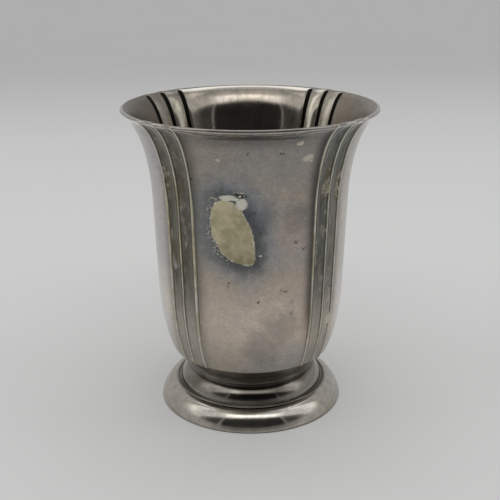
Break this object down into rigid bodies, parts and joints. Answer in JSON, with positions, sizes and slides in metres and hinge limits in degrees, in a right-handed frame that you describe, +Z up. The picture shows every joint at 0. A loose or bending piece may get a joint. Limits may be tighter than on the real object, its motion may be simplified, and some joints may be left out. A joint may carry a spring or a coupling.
{
  "type": "julep cup",
  "caption": "Footed metal julep cup with a fluted, panelled bowl, a flared lip and a hollow stepped foot, for serving a cold drink by hand.",
  "frame": {"origin": "centre of the face that the foot stands on", "axes": "+Z up along the cup's axis, with a plain panel facing -Y"},
  "size_m": [0.086, 0.086, 0.1054],
  "materials": {
    "bowl_plate": "satin",
    "foot_plate": "satin",
    "solder": "matte"
  },
  "bodies": {
    "root": {"bowl": "bowl_plate", "foot": "foot_plate", "solder_seam": "solder"}
  },
  "joints": []
}
